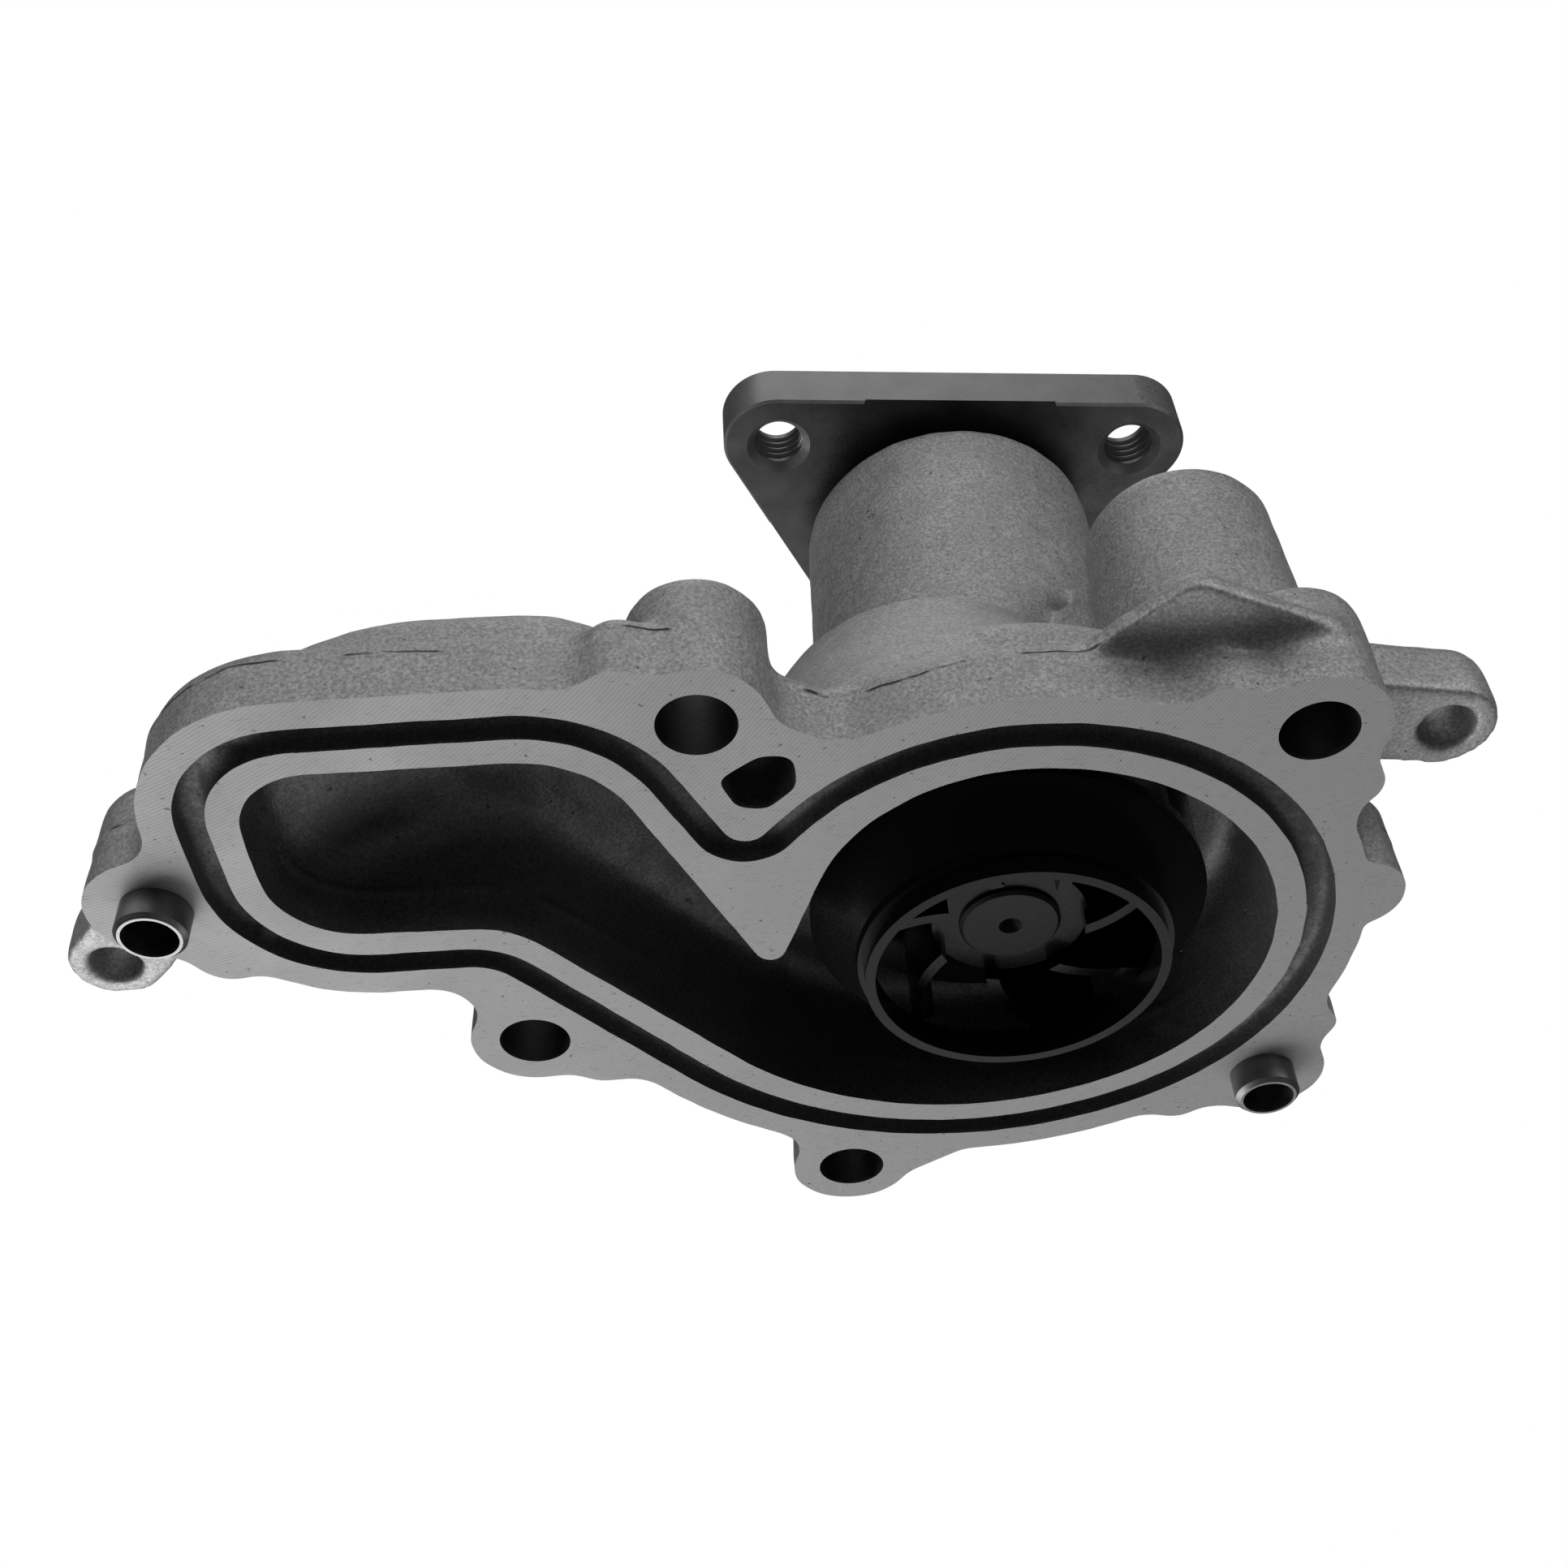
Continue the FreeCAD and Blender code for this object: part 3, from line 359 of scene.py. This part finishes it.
bores = [
    # place, radius, low, high
    ((-34.0, -40.2), 4.25, -1, 20), ((30.0, -33.7), 4.25, -1, 16), ((-57.5, 11.3), 4.25, -1, 20),
    ((-19.8, 43.8), 4.25, -1, 20), ((-95.2, -16.9), 4.0, -1, 7), ((32.7, 27.8), 4.0, -1, 7),
    ((0.0, 0.0), 15.0, 36.5, 78.0),
]
castFinishes = (castSkin, milledFace, boredWall, chamberSkinPaintedShade, grooveSkinPaintedShade)      # the first is unmarked
cavities = {
    "top": 19.5,                      # nothing above this belongs to a cavity
    # these seeds spread the darkened skins, painted shade, over the chamber, groove and slot
    "seeds": [((-60.0, -24.0, 18.0), chamberSkinPaintedShade), ((-62.0, -41.5, 3.0), grooveSkinPaintedShade),
              ((-28.2, -31.2, 5.5), grooveSkinPaintedShade)],
}
onSurface = 0.02                      # a face this near a cut belongs to it


def cutAway(piece, tool):
    step = piece.modifiers.new("cut", "BOOLEAN")
    step.operation = "DIFFERENCE"
    step.solver = "MANIFOLD"
    step.object = tool


def pointsOf(mesh):
    # vertex places in millimetres, one row each
    flat = np.empty(len(mesh.vertices) * 3, np.float32)
    mesh.vertices.foreach_get("co", flat)
    return flat.reshape(-1, 3) / mm


def normalsOf(mesh):
    flat = np.empty(len(mesh.vertices) * 3, np.float32)
    mesh.vertex_normals.foreach_get("vector", flat)
    return flat.reshape(-1, 3)


def setPoints(mesh, points):
    mesh.vertices.foreach_set("co", (points * mm).astype(np.float32).ravel())
    mesh.update()


def noiseAt(points, blotch, shift=0.0):
    away = Vector((shift, shift, shift))
    return np.array([noise.noise(Vector(point) + away) for point in (points / blotch).tolist()])


def roughen(mesh):
    # uneven foundry surface, and flash in places where the two halves of the die meet
    points = pointsOf(mesh)
    push = castShape["ripple"] * noiseAt(points, castShape["rippleSize"])
    near = np.abs(points[:, 2] - castShape["partingLevel"]) < 4 * castShape["flashHalf"] + 1
    band = points[near]
    across = (band[:, 2] - castShape["partingLevel"] - 1.2 * noiseAt(band, 30.0)) / castShape["flashHalf"]
    there = np.clip(3 * noiseAt(band * (1, 1, 0), 9.0, 3.0) + 0.36, 0, 1)
    push[near] += castShape["flashProud"] * np.exp(-across * across) * there
    setPoints(mesh, points + normalsOf(mesh) * push[:, None])


def roundPocket(piece):
    # the outlet pocket is a smooth bowl, so it takes far more softening than the outside
    points = pointsOf(piece.data)
    group = piece.vertex_groups.new(name="bowl")
    for i, (x, y, z) in enumerate(points.tolist()):
        if pocket["low"] < z < pocket["high"] and x < pocket["throat"] and inPocket(x, y):
            roof = pocket["roof"] - max(0.0, pocket["slopeStart"] - x) * pocket["slope"]
            if z < roof + pocket["roofSpare"]:
                upward = min(1.0, (z - pocket["low"]) / pocket["fadeUp"])
                group.add([i], upward * min(1.0, (pocket["throat"] - x) / pocket["fadeAcross"]), "REPLACE")
    bowl = piece.modifiers.new("bowl", "SMOOTH")
    bowl.vertex_group = "bowl"
    bowl.factor = 0.5
    bowl.iterations = pocket["softening"]
    applyModifiers(piece)


def addWeb(work):
    # the casting runs across from the snout to the tall boss, where the CAD leaves a crevice
    along = math.atan2(web["boss"][1], web["boss"][0])
    middle = (web["from"] + web["to"]) / 2
    place = Matrix.Rotation(along, 4, "Z") @ Matrix.Translation(
        Vector((middle, 0, (web["low"] + web["high"]) / 2)) * mm)
    shape = Matrix.Diagonal(((web["to"] - web["from"]) * mm, web["width"] * mm,
                             (web["high"] - web["low"]) * mm, 1.0))
    bmesh.ops.create_cube(work, size=1.0, matrix=place @ shape)


def makeBlank():
    # the housing with stock below its face, as it is before milling
    blank = nodes["pump_housing"].data.copy()
    work = bmesh.new()
    work.from_mesh(blank)
    bmesh.ops.remove_doubles(work, verts=work.verts, dist=1e-6)
    for vert in work.verts:
        if vert.co.z < 1e-6:
            vert.co.z = -castShape["skirt"] * mm
    addWeb(work)
    work.to_mesh(blank)
    work.free()
    blank.materials.clear()
    return blank


def machine(piece):
    # mills the face and opens the bores
    work = bmesh.new()
    bmesh.ops.create_cube(work, size=0.4, matrix=Matrix.Translation((0, 0, -0.2)))
    tools = [meshFromBmesh("faceMill", work)]
    for i, (place, radius, low, high) in enumerate(bores):
        tools.append(cylinderMesh("bore%d" % i, place, radius, low, high))
    cutters = []
    for mesh in tools:
        cutter = bpy.data.objects.new(mesh.name, mesh)
        bpy.context.scene.collection.objects.link(cutter)
        cutAway(piece, cutter)
        cutters.append(cutter)
    bpy.context.view_layer.update()
    applyModifiers(piece)
    for cutter in cutters:
        bpy.data.objects.remove(cutter)


def makeCastBody():
    piece = newPiece("castBody", makeBlank(), "housing", ("pump_housing",))
    remesh = piece.modifiers.new("blank", "REMESH")
    remesh.mode = "VOXEL"
    remesh.voxel_size = castShape["voxel"] * mm
    soften = piece.modifiers.new("soften", "SMOOTH")
    soften.factor = 0.5
    soften.iterations = castShape["softening"]
    applyModifiers(piece)
    roundPocket(piece)
    roughen(piece.data)
    machine(piece)
    mesh = piece.data
    mesh.materials.clear()
    for material in castFinishes:
        mesh.materials.append(material)
    markFinishes(mesh)
    shadeSmooth(mesh, castShape["smoothAngle"])
    return piece


def markFinishes(mesh):
    # milled face and bores go by place; chamber, groove and slot go by what joins up below the face
    work = bmesh.new()
    work.from_mesh(mesh)
    work.faces.ensure_lookup_table()
    for face in work.faces:
        middle = face.calc_center_median() / mm
        if abs(middle.z) < onSurface and face.normal.z < -0.99:
            face.material_index = castFinishes.index(milledFace)
        elif inBore(middle):
            face.material_index = castFinishes.index(boredWall)
    for place, material in cavities["seeds"]:
        target = Vector(place)
        seed = min(work.faces, key=lambda face: (face.calc_center_median() / mm - target).length_squared)
        spread(seed, castFinishes.index(material))
    work.to_mesh(mesh)
    work.free()


def spread(seed, index):
    # marks every unmarked face that joins up with the seed, up to the cavities' top
    seed.material_index = index
    queue = [seed]
    while queue:
        for edge in queue.pop().edges:
            for beside in edge.link_faces:
                if beside.material_index == 0 and beside.calc_center_median().z < cavities["top"] * mm:
                    beside.material_index = index
                    queue.append(beside)


def inBore(middle):
    for place, radius, low, high in bores:
        reach = math.hypot(middle.x - place[0], middle.y - place[1])
        if reach < radius + onSurface and low <= middle.z <= high:
            return True
    return False


def inPocket(x, y):
    # counts the outline's sides that a line from the point crosses
    inside = False
    outline = pocket["outline"]
    for (ax, ay), (bx, by) in zip(outline, outline[1:] + outline[:1]):
        if (ay > y) != (by > y) and x < (bx - ax) * (y - ay) / (by - ay) + ax:
            inside = not inside
    return inside


castBody = makeCastBody()
print("casting made:", len(castBody.data.polygons), "faces")


# finishes on the pieces that keep the shape the CAD gave them
finishOf = {
    "dowel_left": dowelSteel, "dowel_right": dowelSteel, "bearing_outer_race": bearingSteel,
    "pump_shaft": shaftSteel, "bearing_balls": bearingSteel, "ball_cage": cageNylon,
    "bearing_rollers": bearingSteel, "roller_cage": cageNylon, "bearing_seal_inner": sealRubber,
    "bearing_seal_outer": sealRubber, "seal_case": pressedSheet, "seal_sleeve": pressedSheet,
    "seat_cup": sealRubber, "seal_seat_ring": ceramic, "carbon_ring": carbon, "seal_bellows": sealRubber,
    "seal_spring": pressedSheet, "impeller_disc": mouldedBlack, "impeller_shroud": mouldedBlack,
    "impeller_insert": mouldedBlack, "hub_flange": hubSteel, "reservoir_plug": pressedSheet,
}
for name, material in finishOf.items():
    for place in nodes[name].material_slots:
        place.material = material
print("carried-over pieces finished")


view = {
    "place": (-25.57, -172.02, -134.2),     # millimetres
    "pitch": 43.55, "roll": -3.62,           # degrees
    "lens": 42.86, "sensor": 36.0,
}


def makeCamera():
    pitch = math.radians(view["pitch"])
    roll = math.radians(view["roll"])
    forward = Vector((0, math.cos(pitch), math.sin(pitch)))
    levelUp = Vector((0, -math.sin(pitch), math.cos(pitch)))
    levelRight = Vector((1, 0, 0))
    right = math.cos(roll) * levelRight + math.sin(roll) * levelUp
    up = -math.sin(roll) * levelRight + math.cos(roll) * levelUp
    turn = Matrix((right, up, -forward)).transposed().to_4x4()
    data = bpy.data.cameras.new("camera")
    data.lens = view["lens"]
    data.sensor_width = view["sensor"]
    data.clip_start = 0.01
    camera = bpy.data.objects.new("camera", data)
    camera.matrix_world = Matrix.Translation(Vector(view["place"]) * mm) @ turn
    bpy.context.scene.collection.objects.link(camera)
    bpy.context.scene.camera = camera
    return camera


lightsMiddle = (-25.0, -5.0, 30.0)    # millimetres; every light faces this point
lights = {
    # direction from the pump, distance, side, power
    "above": ((0.0, -0.91, 0.377), 0.80, 0.50, 1.4),
    "aboveLeft": ((-0.70, -0.703, 0.159), 0.80, 0.50, 2.1),
    "aboveRight": ((0.70, -0.703, 0.159), 0.80, 0.50, 2.9),
    "crown": ((0.0, -0.19, 0.925), 0.80, 0.50, 1.3),
    "faceLeft": ((-0.60, 0.60, -0.60), 0.80, 0.60, 5.2),
    "faceMiddle": ((-0.15, 0.725, -0.689), 0.85, 0.80, 3.0),
    "faceRight": ((0.60, 0.60, -0.60), 0.80, 0.50, 1.0),
}


def makeLights():
    middle = Vector(lightsMiddle) * mm
    for name, (direction, far, side, power) in lights.items():
        data = bpy.data.lights.new(name, "AREA")
        data.shape = "SQUARE"
        data.size = side
        data.energy = power
        lamp = bpy.data.objects.new(name, data)
        away = Vector(direction).normalized()
        turn = away.to_track_quat("Z", "Y").to_matrix().to_4x4()
        lamp.matrix_world = Matrix.Translation(middle + away * far) @ turn
        bpy.context.scene.collection.objects.link(lamp)


backdrop = {"floorLevel": -1.2, "floorSide": 30.0, "ambient": 0.03, "seen": 1.0}


def makeBackdrop():
    work = bmesh.new()
    bmesh.ops.create_grid(work, x_segments=1, y_segments=1, size=backdrop["floorSide"] / 2)
    floor = bpy.data.objects.new("floor", meshFromBmesh("floor", work))
    floor.location.z = backdrop["floorLevel"]
    bpy.context.scene.collection.objects.link(floor)
    floor.data.materials.append(makePlain("paleFloor", 0.8, 0.7, grain=20.0))
    world = bpy.data.worlds.new("studio")
    bpy.context.scene.world = world
    world.use_nodes = True
    tree = world.node_tree
    out = tree.nodes["World Output"]
    ambient = tree.nodes["Background"]
    ambient.inputs["Color"].default_value = (1, 1, 1, 1)
    ambient.inputs["Strength"].default_value = backdrop["ambient"]
    seen = tree.nodes.new("ShaderNodeBackground")
    seen.inputs["Color"].default_value = (1, 1, 1, 1)
    seen.inputs["Strength"].default_value = backdrop["seen"]
    path = tree.nodes.new("ShaderNodeLightPath")
    blend = tree.nodes.new("ShaderNodeMixShader")
    tree.links.new(path.outputs["Is Camera Ray"], blend.inputs[0])
    tree.links.new(ambient.outputs[0], blend.inputs[1])
    tree.links.new(seen.outputs[0], blend.inputs[2])
    tree.links.new(blend.outputs[0], out.inputs["Surface"])


makeCamera()
makeLights()
makeBackdrop()
bpy.context.scene.view_settings.view_transform = "Standard"
print("camera and lights set")
